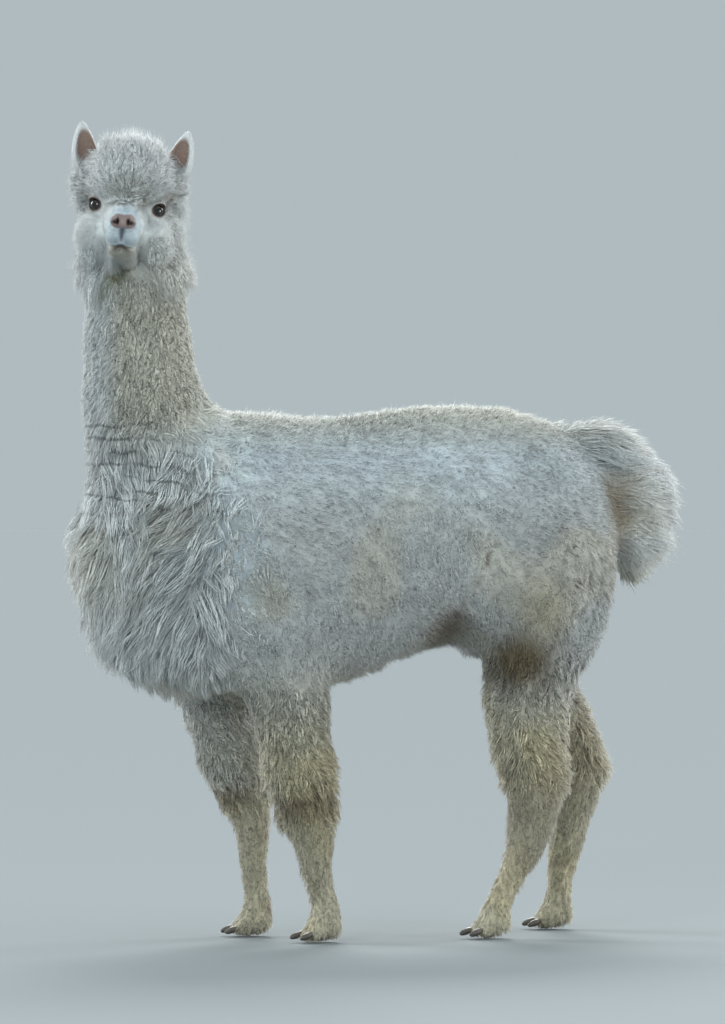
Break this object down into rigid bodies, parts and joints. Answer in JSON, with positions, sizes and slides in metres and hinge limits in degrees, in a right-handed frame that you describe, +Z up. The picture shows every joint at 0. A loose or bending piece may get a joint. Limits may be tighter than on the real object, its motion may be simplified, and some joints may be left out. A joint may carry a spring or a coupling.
{
  "type": "alpaca",
  "caption": "Life-size standing alpaca with a dense pale fleece, long silky chest wool, bushy tail, upright ears and its head turned to the left.",
  "frame": {"origin": "on the floor, under the middle of the model's bounding box", "axes": "+Z up; the body faces -Y and the animal's left side is +X; the head is turned 70 degrees towards +X"},
  "size_m": [0.4224, 1.1526, 1.4613],
  "materials": {
    "fleece": "dense matt wool in locks",
    "face": "short flat fur",
    "ear_skin": "bare skin with a woolly rim",
    "eye": "wet and glossy",
    "leg_wool": "curly wool above, short fur below",
    "nail": "worn horn"
  },
  "bodies": {
    "root": {"head": "fleece", "neck": "fleece", "trunk": "fleece", "tail": "fleece", "muzzle": "face", "ear_left": "ear_skin", "ear_right": "ear_skin", "eye_left": "eye", "eye_right": "eye", "foreleg_left_upper": "leg_wool", "foreleg_left_shank": "leg_wool", "foreleg_left_foot": "leg_wool", "foreleg_right_upper": "leg_wool", "foreleg_right_shank": "leg_wool", "foreleg_right_foot": "leg_wool", "hindleg_left_upper": "leg_wool", "hindleg_left_shank": "leg_wool", "hindleg_left_foot": "leg_wool", "hindleg_right_upper": "leg_wool", "hindleg_right_shank": "leg_wool", "hindleg_right_foot": "leg_wool", "foreleg_left_nail_inner": "nail", "foreleg_left_nail_outer": "nail", "foreleg_right_nail_inner": "nail", "foreleg_right_nail_outer": "nail", "hindleg_left_nail_inner": "nail", "hindleg_left_nail_outer": "nail", "hindleg_right_nail_inner": "nail", "hindleg_right_nail_outer": "nail"}
  },
  "joints": []
}
